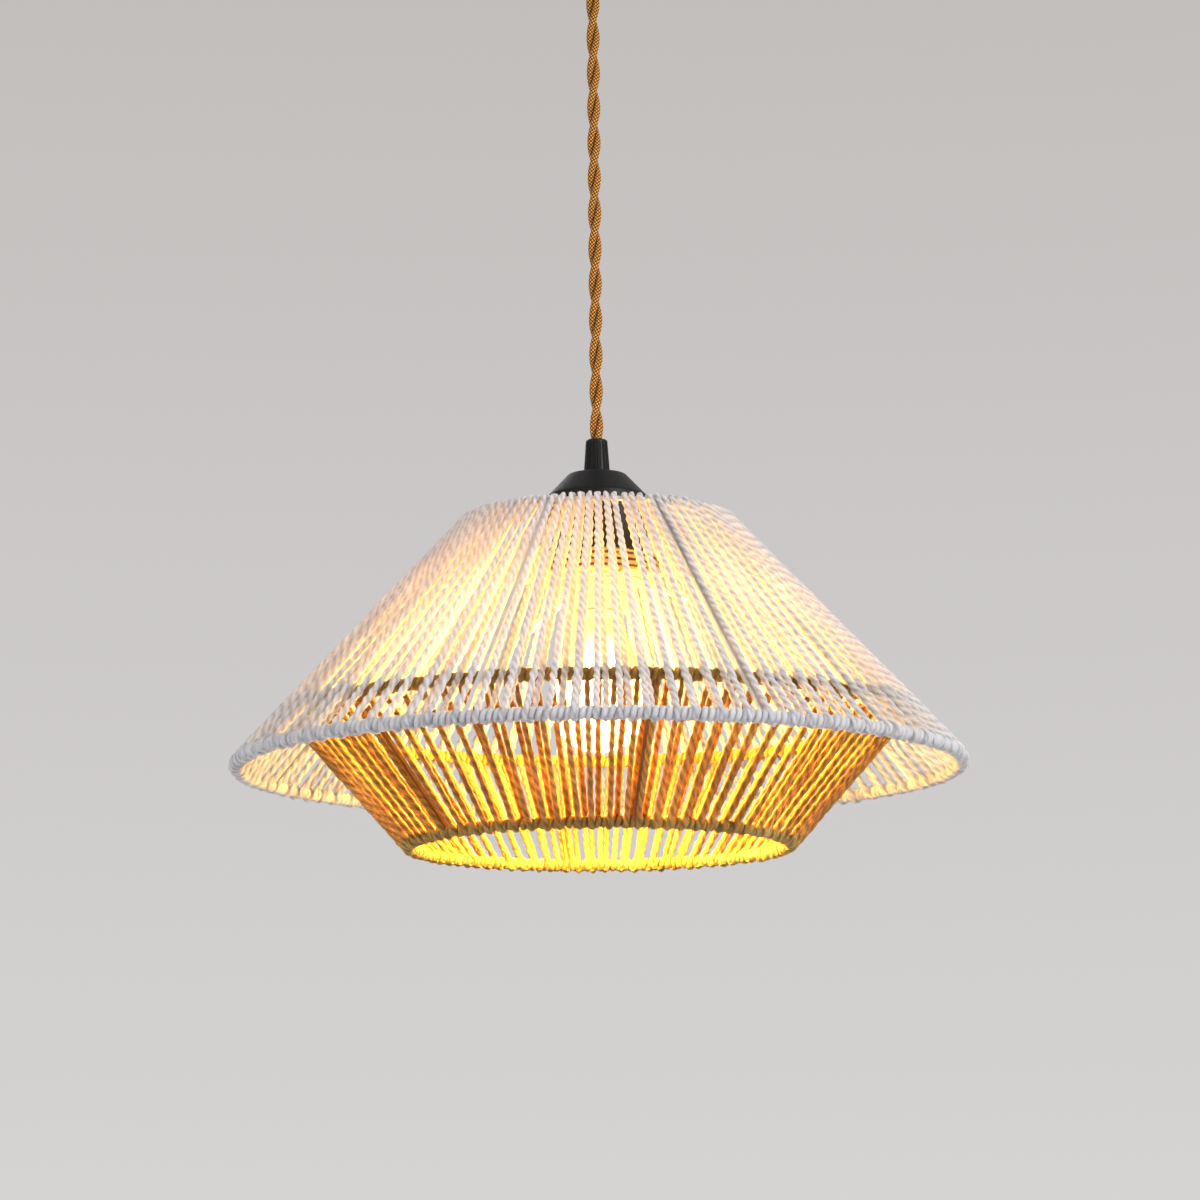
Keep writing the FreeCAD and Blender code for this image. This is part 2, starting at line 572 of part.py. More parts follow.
def rope_skin(label, low, high, drop, end, spread, side, wrap, depth, wraps):
    """One layer of rope between two rings, from depth to wrap away from the cone's middle.

    side is 1 on the outside and -1 on the inside. The layer ends where it meets the wrapped rings.
    """
    lean = f"sqrt(1 + ({spread})^2)"
    shift = f"({side} * {wrap} * ({spread}) / {lean})"
    far, near = (f"{side} * ({depth if first else wrap}) * {lean} - {shift} * ({spread})"
                 for first in (side < 0, side > 0))
    walls = [cone(f"{label}_{word}", f"{low} + {off}", f"{high} + {off}", drop, f"{end} + {shift}")
             for word, off in (("outer", far), ("inner", near))]
    node(cut(label, *walls, *wraps), label)


def shade(name, low, high, drop, end, spread, azimuth):
    """Two wire rings, the bars between them, the rope round each ring and both layers of rope."""
    top = f"({end} + {drop})"
    wire, wrap = f"{name}_wire_radius", f"{name}_wrap_radius"
    wraps = []
    for word, radius, level in (("top", high, top), ("bottom", low, end)):
        node(torus(f"{name}_{word}_ring", radius, wire, level), f"{name}_{word}_ring")
        node(cut(f"{name}_{word}_wrap", torus(f"{name}_{word}_rope", radius, wrap, level),
                 torus(f"{name}_{word}_core", radius, wire, level)), f"{name}_{word}_wrap")
        wraps.append(torus(f"{name}_{word}_edge", radius, wrap, level))
    half = f"{name}_strut_thickness / 2 * sqrt(1 + ({spread})^2)"
    bars(f"{name}_struts", [
        (f"{high} - {half}", top), (f"{high} + {half}", top), (f"{low} + {half}", end),
        (f"{low} - {half}", end)], f"{name}_strut_width", f"{name}_strut_count", azimuth)
    depth = f"{name}_strut_thickness / 2 + rope_clearance"
    for word, side in (("outside", 1), ("inside", -1)):
        rope_skin(f"{name}_rope_{word}", low, high, drop, end, spread, side, wrap, depth, wraps)


def shade_links():
    """Short wires that hang the inner shade's top ring from the outer struts."""
    across, lean = value(INNER_TOP_RADIUS), value(OUTER_LEAN)
    out = FreeCAD.Vector(1 / lean, 0, value(OUTER_SPREAD) / lean)
    length = value("outer_wrap_radius + inner_wrap_radius + shade_gap")
    link = Part.makeCylinder(value("link_radius"), length, FreeCAD.Vector(across, 0, value(INNER_TOP)),
                             out)
    count = int(value("arm_count"))
    links = doc.addObject("Part::Feature", "shade_links")
    links.Shape = Part.makeCompound([
        link.rotated(FreeCAD.Vector(), FreeCAD.Vector(0, 0, 1), 360 * i / count + FRONT + ARMS)
        for i in range(count)])
    node(links, "shade_links")


def check_and_export():
    """Writes every sub-part, once the whole document is sound."""
    doc.recompute()
    for thing in doc.Objects:
        if {"Invalid", "Error"} & set(thing.State):
            raise RuntimeError(f"{thing.Label} failed: {thing.State}")
    os.makedirs("parts", exist_ok=True)
    for thing in nodes:
        if thing.Shape.isNull() or not thing.Shape.isValid() or not thing.Shape.Solids:
            raise RuntimeError(f"{thing.Label} has no valid solid")
    for thing in nodes:
        thing.Shape.exportStep(f"parts/{thing.Label}.step")
        box = thing.Shape.BoundBox
        print(f"{thing.Label}: {len(thing.Shape.Solids)} solid(s), {thing.Shape.Volume:.0f} mm3,"
              f" {box.XLength:.1f} x {box.YLength:.1f} x {box.ZLength:.1f}")
    print(f"{len(nodes)} sub-parts")


fill_sheet()
ceiling_bracket()
canopy()
terminals()
cord()
lamp_grip()
lamp_head()
collar_and_ring()
bulb()
spider()
shade("outer", "outer_bottom_radius", "outer_top_radius", "outer_drop", OUTER_END, OUTER_SPREAD,
      OUTER_STRUTS)
shade("inner", "inner_bottom_radius", INNER_TOP_RADIUS, "inner_drop", INNER_END, INNER_SPREAD,
      INNER_STRUTS)
shade_links()
check_and_export()
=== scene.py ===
"""Hanging lantern: the finished look of a rope-covered pendant lamp, on its measured frame.

Lengths are metres. The ceiling is at zero, +Z points up and the front is -Y.
"""

import json
import math

import bmesh
import bpy
from mathutils import Matrix, Vector

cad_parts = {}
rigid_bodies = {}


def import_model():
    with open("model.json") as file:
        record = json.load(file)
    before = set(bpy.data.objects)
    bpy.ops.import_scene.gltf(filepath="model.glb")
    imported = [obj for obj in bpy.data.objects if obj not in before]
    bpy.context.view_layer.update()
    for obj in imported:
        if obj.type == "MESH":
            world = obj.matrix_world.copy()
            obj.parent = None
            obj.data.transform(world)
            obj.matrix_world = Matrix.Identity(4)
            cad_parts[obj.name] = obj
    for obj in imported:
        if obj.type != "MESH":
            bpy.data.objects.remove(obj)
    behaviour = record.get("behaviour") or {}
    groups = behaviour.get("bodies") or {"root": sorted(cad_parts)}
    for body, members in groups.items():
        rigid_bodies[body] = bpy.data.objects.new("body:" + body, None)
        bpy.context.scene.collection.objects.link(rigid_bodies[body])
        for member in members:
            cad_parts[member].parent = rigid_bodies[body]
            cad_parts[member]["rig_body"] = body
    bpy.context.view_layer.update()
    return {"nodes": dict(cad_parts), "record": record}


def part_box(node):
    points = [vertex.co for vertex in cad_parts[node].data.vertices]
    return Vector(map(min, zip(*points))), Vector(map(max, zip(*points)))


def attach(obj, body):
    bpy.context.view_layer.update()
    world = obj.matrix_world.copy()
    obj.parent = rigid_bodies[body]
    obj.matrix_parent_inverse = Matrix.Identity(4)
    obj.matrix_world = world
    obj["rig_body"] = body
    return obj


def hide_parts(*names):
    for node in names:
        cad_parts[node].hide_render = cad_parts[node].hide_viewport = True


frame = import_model()
SLOT_OF = {item["node"]: item["material_slot"] for item in frame["record"]["subparts"]}

bl_info = {
    "name": "Hanging Lantern",
    "version": (1, 0, 0),
    "blender": (4, 5, 0),
    "location": "3D View > Sidebar > Lantern",
    "description": "Rope shades, twisted cord, lamp head and studio for a hanging lantern",
    "category": "Object",
}

FULL_TURN = 2 * math.pi

# Rope: faces round a strand and round a coil, and how loosely the plies are laid.
STRAND_SIDES = 8
COIL_SIDES = 6
COIL_STEPS = 14
LOOSE_TWIST = 5.0
TOP_THINNING = -0.12
BEND_STEPS = 6
CREASES = 170.0
GLOW_DEPTH = 0.009
# Each ring's slot, the radius its rope reaches, the rope's thickness and the winding's seed.
COILS = {
    "outer_bottom": ("white_rope", 0.0045, 0.0043, 1.0),
    "inner_top": ("brown_rope", 0.0042, 0.0042, 5.0),
    "inner_bottom": ("brown_rope", 0.0040, 0.0040, 9.0),
}

# Cord: its line from the lamp up, the strands' first angle, its reach and its braid.
CORD_POINTS = [(0, 0, -0.351), (0, 0, -0.275), (0, 0, -0.195), (0, 0, -0.115), (0, 0, -0.040)]
CORD_START = math.radians(98)
CORD_RADIUS = 0.0042
CORD_SIDES = 14
BRAID_THREADS = 6.0
BRAID_CELL = 0.0022
# Painted shade in the cleft between the cord's strands: where it starts from the axis and how far
# it deepens.
CLEFT_SHADE_EDGE = 0.0024
CLEFT_SHADE_DEPTH = 0.0014

# Bulb core: its radii and heights above the bulb's foot, in shares of the bulb's radius.
CORE_PROFILE = [(0.22, 0.33), (0.42, 0.44), (0.56, 0.62), (0.63, 0.86), (0.64, 1.10), (0.60, 1.36),
                (0.52, 1.64), (0.42, 1.92), (0.34, 2.20), (0.27, 2.42), (0.14, 2.53)]
CORE_ENDS = (0.30, 2.55)
CORE_SIDES = 36
CORE_STRENGTH = 9.0
BULB_POWER = 11.0
GLASS_MARGIN = 0.001

# Finishes are kept here once they are made.
FINISHES = {}
WELD = 0.00001
GRIP_ANGLE = 16

# Stage: camera, floor and lights (name, place, size, power, tint).
CAMERA_PLACE = (0, -2.354, -0.875)
CAMERA_LENS = 116.43
CAMERA_SENSOR = 36
CAMERA_SHIFT = 0.00167
CAMERA_NOD = 0.1787
CAMERA_ROLL = math.radians(-0.5)
FLOOR_HALF = 90.0
FLOOR_LEVEL = -4.5
LAMP_MIDDLE = (0, 0, -0.48)
LIGHTS = (
    ("key", (2.4, -2.2, 0.5), 1.6, 68, (1.0, 1.0, 1.0)),
    ("fill", (-2.6, -1.8, -0.9), 2.0, 22, (0.97, 0.98, 1.0)),
    ("back", (-0.8, 2.8, 0.9), 2.0, 12, (1.0, 1.0, 1.0)),
)


# ---- Sizes and colours ----

class LanternSizes(bpy.types.PropertyGroup):
    """Sizes of the rope and the cord."""
    white_rope: bpy.props.FloatProperty(
        name="White rope", description="Thickness of the rope on the outer shade", default=0.0046,
        min=0.002, max=0.006, subtype="DISTANCE", unit="LENGTH")
    brown_rope: bpy.props.FloatProperty(
        name="Brown rope", description="Thickness of the rope on the inner shade", default=0.0042,
        min=0.002, max=0.006, subtype="DISTANCE", unit="LENGTH")
    rope_pitch: bpy.props.FloatProperty(
        name="Rope lay", description="Length in which a rope's two plies turn once", default=0.016,
        min=0.006, max=0.03, subtype="DISTANCE", unit="LENGTH")
    outer_strands: bpy.props.IntProperty(
        name="Outer strands", description="Loops of rope round the outer shade", default=100,
        min=40, max=160)
    inner_strands: bpy.props.IntProperty(
        name="Inner strands", description="Loops of rope round the inner shade", default=82, min=30,
        max=140)
    coil_spacing: bpy.props.FloatProperty(
        name="Coil spacing", description="Distance between turns of rope round a ring",
        default=0.0040, min=0.002, max=0.006, subtype="DISTANCE", unit="LENGTH")
    cord_strand: bpy.props.FloatProperty(
        name="Cord strand", description="Thickness of one of the cord's two strands",
        default=0.0045, min=0.002, max=0.005, subtype="DISTANCE", unit="LENGTH")
    cord_pitch: bpy.props.FloatProperty(
        name="Cord lay", description="Length in which the cord's two strands turn once",
        default=0.0458, min=0.02, max=0.08, subtype="DISTANCE", unit="LENGTH")


def colour(name, description, default):
    """A colour that the user can change."""
    return bpy.props.FloatVectorProperty(
        name=name, description=description, default=default, size=3, min=0, max=1, subtype="COLOR")


class LanternColours(bpy.types.PropertyGroup):
    """Colours of the rope, the cord and the light."""
    white_rope: colour("White rope", "Paper rope of the outer shade", (0.90, 0.86, 0.88))
    brown_rope: colour("Brown rope", "Paper rope of the inner shade", (0.47, 0.26, 0.045))
    cord: colour("Cord", "Braid of the cord", (0.46, 0.17, 0.025))
    glow: colour("Glow", "Light of the bulb", (1.0, 0.56, 0.11))


# ---- Wiring up node trees ----

def add(tree, kind, inputs=None, **settings):
    """Adds a node, with its settings, and values or links for its inputs by name or number."""
    node = tree.nodes.new(kind)
    for key, setting in settings.items():
        setattr(node, key, setting)
    for key, given in (inputs or {}).items():
        socket = node.inputs[key] if isinstance(key, int) else next(
            s for s in node.inputs if s.name == key and s.enabled)
        if isinstance(given, bpy.types.NodeSocket):
            tree.links.new(given, socket)
        else:
            socket.default_value = given
    return node


def calc(tree, operation, *values):
    """A Math node's result."""
    return add(tree, "ShaderNodeMath", dict(enumerate(values)), operation=operation).outputs[0]


def vector(tree, operation, *values):
    """A Vector Math node's vector result."""
    return add(
        tree, "ShaderNodeVectorMath", dict(enumerate(values)), operation=operation).outputs[0]


def xyz(tree, x=0.0, y=0.0, z=0.0):
    """A vector from its parts."""
    return add(tree, "ShaderNodeCombineXYZ", {0: x, 1: y, 2: z}).outputs[0]


def new_tree(name, sockets):
    """A geometry tree with its named inputs; returns it, its input node and its output node."""
    tree = bpy.data.node_groups.new(name, "GeometryNodeTree")
    tree.is_modifier = True
    tree.interface.new_socket(name="Geometry", in_out="OUTPUT", socket_type="NodeSocketGeometry")
    tree.interface.new_socket(name="Geometry", in_out="INPUT", socket_type="NodeSocketGeometry")
    for label, kind, default, subtype in sockets:
        socket = tree.interface.new_socket(
            name=label, in_out="INPUT", socket_type=f"NodeSocket{kind}")
        if subtype:
            socket.subtype = subtype
        if default is not None:
            socket.default_value = default
    return tree, tree.nodes.new("NodeGroupInput"), tree.nodes.new("NodeGroupOutput")


def chance(tree, owner, seed, low=-1.0, high=1.0):
    """A fixed random number for each owner."""
    node = add(tree, "FunctionNodeRandomValue", {2: low, 3: high, 7: owner, 8: seed},
               data_type="FLOAT")
    return node.outputs[1]


def attribute(tree, name):
    """A named number read from the geometry."""
    return add(
        tree, "GeometryNodeInputNamedAttribute", {"Name": name}, data_type="FLOAT").outputs[0]


def stored(tree, geometry, name, value, data_type="FLOAT"):
    """The geometry with a named value on its points."""
    node = add(tree, "GeometryNodeStoreNamedAttribute", data_type=data_type, domain="POINT")
    tree.links.new(geometry, node.inputs["Geometry"])
    node.inputs["Name"].default_value = name
    tree.links.new(value, next(s for s in node.inputs if s.name == "Value" and s.enabled))
    return node.outputs[0]


def rope_section(tree, thickness, sides, waist):
    """A rope's section, round for no waist and two-lobed with one, carrying its own angles."""
    ring = add(tree, "GeometryNodeCurvePrimitiveCircle", {"Resolution": sides, "Radius": 1.0})
    angle = calc(tree, "MULTIPLY", tree.nodes.new("GeometryNodeInputIndex").outputs[0],
                 FULL_TURN / sides)
    lobes = calc(tree, "COSINE", calc(tree, "MULTIPLY", angle, 2.0))
    reach = calc(tree, "MULTIPLY", calc(tree, "MULTIPLY", thickness, 0.5),
                 calc(tree, "MULTIPLY_ADD", calc(tree, "SUBTRACT", lobes, 1.0),
                      calc(tree, "MULTIPLY", waist, 0.5), 1.0))
    sine, cosine = calc(tree, "SINE", angle), calc(tree, "COSINE", angle)
    place = xyz(tree, calc(tree, "MULTIPLY", cosine, reach), calc(tree, "MULTIPLY", sine, reach))
    shaped = add(tree, "GeometryNodeSetPosition", {"Geometry": ring.outputs[0], "Position": place})
    # Painted shade between the two plies: 0 on each ply's crown, 1 where the plies meet.
    groove_shade = calc(tree, "MULTIPLY_ADD", lobes, -0.5, 0.5)
    section = stored(tree, shaped.outputs[0], "groove_shade", groove_shade)
    return stored(tree, section, "around", xyz(tree, cosine, sine), "FLOAT_VECTOR")


def swept(tree, line, section, scale, material, output, groove_shade=None):
    """The rope along its line, as plain faces with their finish."""
    rope = add(tree, "GeometryNodeCurveToMesh",
               {"Curve": line, "Profile Curve": section, "Scale": scale,
                "Fill Caps": True}).outputs[0]
    # A painted shade mask given here takes the place of the section's own.
    if groove_shade:
        rope = stored(tree, rope, "groove_shade", groove_shade)
    smooth = add(tree, "GeometryNodeSetShadeSmooth", {"Geometry": rope})
    real = add(tree, "GeometryNodeRealizeInstances", {"Geometry": smooth.outputs[0]})
    done = add(tree, "GeometryNodeSetMaterial", {"Geometry": real.outputs[0], "Material": material})
    tree.links.new(done.outputs[0], output.inputs[0])


def strand_tree():
    """Loops of twisted rope round the axis, from one loop's guide line."""
    tree, given, output = new_tree("Rope strands", [
        ("Strands all round", "Int", 100, None), ("First strand", "Int", 0, None),
        ("Strands here", "Int", 100, None), ("Rope thickness", "Float", 0.0035, "DISTANCE"),
        ("Rope lay", "Float", 0.012, "DISTANCE"), ("Foot play", "Float", 0.1, "FACTOR"),
        ("Top play", "Float", 0.1, "FACTOR"), ("Waver", "Float", 0.0003, "DISTANCE"),
        ("Waist", "Float", 0.3, "FACTOR"), ("Seed", "Int", 1, None),
        ("Material", "Material", None, None)])
    start = add(tree, "GeometryNodeMeshToCurve", {"Mesh": given.outputs["Geometry"]})
    copies = add(tree, "GeometryNodeDuplicateElements",
                 {"Geometry": start.outputs[0], "Amount": given.outputs["Strands here"]},
                 domain="SPLINE")
    number = calc(tree, "ADD", copies.outputs["Duplicate Index"], given.outputs["First strand"])
    seed = given.outputs["Seed"]
    seeds = [calc(tree, "ADD", seed, float(step)) for step in range(5)]
    play = [
        calc(tree, "MULTIPLY", calc(tree, "MULTIPLY", attribute(tree, "foot_outside"),
                                    chance(tree, number, seeds[0])), given.outputs["Foot play"]),
        calc(tree, "MULTIPLY", calc(tree, "MULTIPLY", attribute(tree, "foot_inside"),
                                    chance(tree, number, seeds[1])), given.outputs["Foot play"]),
        calc(tree, "MULTIPLY", calc(tree, "MULTIPLY", attribute(tree, "top"),
                                    chance(tree, number, seeds[2])), given.outputs["Top play"]),
    ]
    steps = calc(tree, "ADD", number, attribute(tree, "progress"))
    for part in play:
        steps = calc(tree, "ADD", steps, part)
    angle = calc(tree, "DIVIDE", calc(tree, "MULTIPLY", steps, FULL_TURN),
                 given.outputs["Strands all round"])
    place = tree.nodes.new("GeometryNodeInputPosition").outputs[0]
    turned = add(tree, "ShaderNodeVectorRotate", {"Vector": place, "Angle": angle},
                 rotation_type="Z_AXIS")
    drift = add(tree, "ShaderNodeTexNoise",
                {"Vector": turned.outputs[0], "Scale": 35.0, "Detail": 1.0})
    waver = vector(tree, "SCALE", vector(tree, "SUBTRACT", drift.outputs["Color"], (0.5, 0.5, 0.5)))
    tree.links.new(given.outputs["Waver"], waver.node.inputs["Scale"])
    moved = add(tree, "GeometryNodeSetPosition",
                {"Geometry": copies.outputs[0], "Position": turned.outputs[0], "Offset": waver})
    along = tree.nodes.new("GeometryNodeSplineParameter").outputs["Length"]
    lay = calc(tree, "DIVIDE", calc(tree, "MULTIPLY", along, -FULL_TURN), given.outputs["Rope lay"])
    loose = calc(tree, "MULTIPLY_ADD", drift.outputs["Fac"], LOOSE_TWIST, lay)
    tilt = calc(tree, "ADD", loose, chance(tree, number, seeds[3], 0.0, FULL_TURN))
    tilted = add(tree, "GeometryNodeSetCurveTilt", {"Curve": moved.outputs[0], "Tilt": tilt})
    line = stored(tree, tilted.outputs[0], "along", along)
    line = stored(tree, line, "strand", chance(tree, number, seeds[4], 0.0, 1.0))
    uneven = add(tree, "ShaderNodeTexNoise", {"Vector": place, "Scale": 150.0, "Detail": 2.0})
    scale = calc(tree, "MULTIPLY", calc(tree, "MULTIPLY_ADD", uneven.outputs["Fac"], 0.50, 0.74),
                 calc(tree, "MULTIPLY_ADD", attribute(tree, "top"), TOP_THINNING, 1.0))
    section = rope_section(
        tree, given.outputs["Rope thickness"], STRAND_SIDES, given.outputs["Waist"])
    swept(tree, line, section, scale, given.outputs["Material"], output)
    return tree


def coil_tree():
    """Rope wound closely round a ring."""
    tree, given, output = new_tree("Ring coils", [
        ("Ring radius", "Float", 0.2, "DISTANCE"), ("Level", "Float", 0.0, "DISTANCE"),
        ("Winding radius", "Float", 0.003, "DISTANCE"), ("Turns", "Int", 400, None),
        ("Steps per turn", "Int", 14, None), ("Rope thickness", "Float", 0.003, "DISTANCE"),
        ("Unevenness", "Float", 0.15, "FACTOR"), ("Seed", "Float", 1.0, None),
        ("Material", "Material", None, None)])
    count = calc(tree, "MULTIPLY", given.outputs["Turns"], given.outputs["Steps per turn"])
    straight = add(tree, "GeometryNodeCurvePrimitiveLine", {"End": (0.0, 0.0, 1.0)})
    line = add(tree, "GeometryNodeResampleCurve", {"Curve": straight.outputs[0], "Count": count},
               mode="COUNT")
    share = calc(tree, "DIVIDE", tree.nodes.new("GeometryNodeInputIndex").outputs[0], count)
    around = calc(tree, "MULTIPLY", share, FULL_TURN)
    winding = calc(tree, "MULTIPLY", around, given.outputs["Turns"])
    ring = xyz(tree, calc(tree, "COSINE", around), calc(tree, "SINE", around),
               given.outputs["Seed"])
    patchy = add(tree, "ShaderNodeTexNoise", {"Vector": ring, "Scale": 45.0, "Detail": 3.0})
    swell = calc(tree, "MULTIPLY_ADD", calc(tree, "SUBTRACT", patchy.outputs["Fac"], 0.5),
                 given.outputs["Unevenness"], 1.0)
    reach = calc(tree, "MULTIPLY", given.outputs["Winding radius"], swell)
    radius = calc(tree, "ADD", given.outputs["Ring radius"],
                  calc(tree, "MULTIPLY", reach, calc(tree, "COSINE", winding)))
    height = calc(tree, "ADD", given.outputs["Level"],
                  calc(tree, "MULTIPLY", reach, calc(tree, "SINE", winding)))
    slip = calc(tree, "DIVIDE", calc(tree, "MULTIPLY", calc(
        tree, "SUBTRACT", patchy.outputs["Fac"], 0.5), 4.0), given.outputs["Turns"])
    heading = calc(tree, "ADD", around, slip)
    place = xyz(tree, calc(tree, "MULTIPLY", radius, calc(tree, "COSINE", heading)),
                calc(tree, "MULTIPLY", radius, calc(tree, "SINE", heading)), height)
    wound = add(tree, "GeometryNodeSetPosition", {"Geometry": line.outputs[0], "Position": place})
    closed = add(
        tree, "GeometryNodeSetSplineCyclic", {"Geometry": wound.outputs[0], "Cyclic": True})
    along = tree.nodes.new("GeometryNodeSplineParameter").outputs["Length"]
    rope = stored(tree, closed.outputs[0], "along", along)
    rope = stored(tree, rope, "strand", patchy.outputs["Fac"])
    scale = calc(tree, "MULTIPLY_ADD", patchy.outputs["Fac"], 0.5, 0.75)
    section = rope_section(tree, given.outputs["Rope thickness"], COIL_SIDES, 0.0)
    # Painted shade on the winding: darker the nearer a point of the rope lies to the ring's wire.
    parts = add(tree, "ShaderNodeSeparateXYZ",
                {0: tree.nodes.new("GeometryNodeInputPosition").outputs[0]}).outputs
    level = xyz(tree, parts[0], parts[1])
    outward = calc(tree, "SUBTRACT", add(tree, "ShaderNodeVectorMath", {0: level},
                                         operation="LENGTH").outputs["Value"],
                   given.outputs["Ring radius"])
    upward = calc(tree, "SUBTRACT", parts[2], given.outputs["Level"])
    away = add(tree, "ShaderNodeVectorMath", {0: xyz(tree, outward, upward)},
               operation="LENGTH").outputs["Value"]
    half = calc(tree, "MULTIPLY", given.outputs["Rope thickness"], 0.5)
    shade_depth = calc(tree, "SUBTRACT", calc(tree, "ADD", given.outputs["Winding radius"], half), away)
    groove_shade = add(tree, "ShaderNodeMapRange", {0: shade_depth, 1: 0.0, 2: half}).outputs[0]
    swept(tree, rope, section, scale, given.outputs["Material"], output, groove_shade)
    return tree


def grown(name, tree, values, guide=None):
    """What a tree makes, as one plain mesh."""
    guide = guide or bpy.data.meshes.new(f"{name}_seed")
    holder = bpy.data.objects.new(f"{name}_holder", guide)
    bpy.context.scene.collection.objects.link(holder)
    modifier = holder.modifiers.new("Growth", "NODES")
    modifier.node_group = tree
    for item in tree.interface.items_tree:
        if item.in_out == "INPUT" and item.name in values:
            modifier[item.identifier] = values[item.name]
    holder.update_tag()
    graph = bpy.context.evaluated_depsgraph_get()
    mesh = bpy.data.meshes.new_from_object(
        holder.evaluated_get(graph), preserve_all_data_layers=True, depsgraph=graph)
    mesh.name = name
    holder.modifiers.remove(modifier)
    bpy.data.objects.remove(holder)
    bpy.data.meshes.remove(guide)
    if not mesh.polygons:
        raise RuntimeError(f"{name}: the tree made no faces")
    return mesh


def piece(name, mesh, body, slot, *stands_for):
    """A finished piece in the scene, riding on its body."""
    made = bpy.data.objects.new(name, mesh)
    bpy.context.scene.collection.objects.link(made)
    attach(made, body)
    if stands_for:
        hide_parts(*stands_for)
    return made


# ---- Finishes ----

def blank(name, **constants):
    """A material, its tree and its shader, with values that are the same all over."""
    material = bpy.data.materials.new(name)
    material.use_nodes = True
    shader = material.node_tree.nodes["Principled BSDF"]
    for key, constant in constants.items():
        shader.inputs[key.replace("_", " ")].default_value = constant
    return material, material.node_tree, shader


def ramp(tree, factor, *stops):
    """A colour ramp's result, from its places and tints."""
    node = add(tree, "ShaderNodeValToRGB", {0: factor})
    while len(node.color_ramp.elements) < len(stops):
        node.color_ramp.elements.new(0.5)
    for element, (place, tint) in zip(node.color_ramp.elements, stops):
        element.position = place
        element.color = (*tint, 1)
    return node.outputs[0]


def shaded(tint, amount):
    """A tint made darker or lighter by an amount."""
    return tuple(max(0.0, min(1.0, part * amount)) for part in tint)


def bumped(tree, shader, height, distance, strength=1.0):
    """Gives a shader fine relief from a height."""
    bump = add(tree, "ShaderNodeBump", {"Height": height, "Distance": distance,
                                        "Strength": strength})
    tree.links.new(bump.outputs[0], shader.inputs["Normal"])


def rope_finish(name, tint, shade_factor, crease_highlight, through, spread):
    """Twisted paper: fine creases along each ply, with painted light and shade on them and painted
    shade between the plies.
    """
    material, tree, shader = blank(name, Specular_IOR_Level=0.25, Sheen_Weight=0.15,
                                   Sheen_Roughness=0.5, Subsurface_Weight=through,
                                   Subsurface_Radius=spread, Subsurface_Scale=GLOW_DEPTH)

    def read(label, socket):
        return add(tree, "ShaderNodeAttribute", attribute_name=label).outputs[socket]

    lengthwise = xyz(tree, 0.0, 0.0, calc(tree, "MULTIPLY", read("along", "Fac"), CREASES))
    offset = vector(tree, "SCALE", (17.0, 5.0, 31.0))
    tree.links.new(read("strand", "Fac"), offset.node.inputs["Scale"])
    spot = vector(tree, "ADD", vector(tree, "MULTIPLY", read("around", "Vector"), (5.0, 5.0, 0.0)),
                  vector(tree, "ADD", lengthwise, offset))
    crease = add(tree, "ShaderNodeTexNoise", {"Vector": spot, "Scale": 1.3, "Detail": 4.0,
                                              "Roughness": 0.6, "Distortion": 0.4}).outputs["Fac"]
    place = add(tree, "ShaderNodeTexCoord").outputs["Object"]
    cloudy = add(tree, "ShaderNodeTexNoise", {"Vector": place, "Scale": 22.0,
                                              "Detail": 2.0}).outputs["Fac"]
    # Random tone from the cloudy noise, with painted highlight and shade that follow the creases'
    # relief.
    blend = calc(tree, "MULTIPLY_ADD", cloudy, 0.35, calc(tree, "MULTIPLY", crease, 0.65))
    body = ramp(tree, blend, (0.36, shaded(tint, shade_factor)), (0.50, tint), (0.64, crease_highlight))
    # Painted shade between the plies, and where a coil's turns meet their ring.
    shade_in_groove = calc(tree, "MULTIPLY", calc(tree, "POWER", read("groove_shade", "Fac"), 1.3), 0.75)
    mixed = add(tree, "ShaderNodeMix", {0: shade_in_groove}, data_type="RGBA", blend_type="MIX")
    tree.links.new(body, mixed.inputs[6])
    mixed.inputs[7].default_value = (*shaded(tint, shade_factor * 0.6), 1)
    tree.links.new(mixed.outputs[2], shader.inputs["Base Color"])
    rough = add(tree, "ShaderNodeMapRange", {0: crease, 3: 0.6, 4: 0.85})
    tree.links.new(rough.outputs[0], shader.inputs["Roughness"])
    bumped(tree, shader, crease, 0.0009, 1.0)
    return material


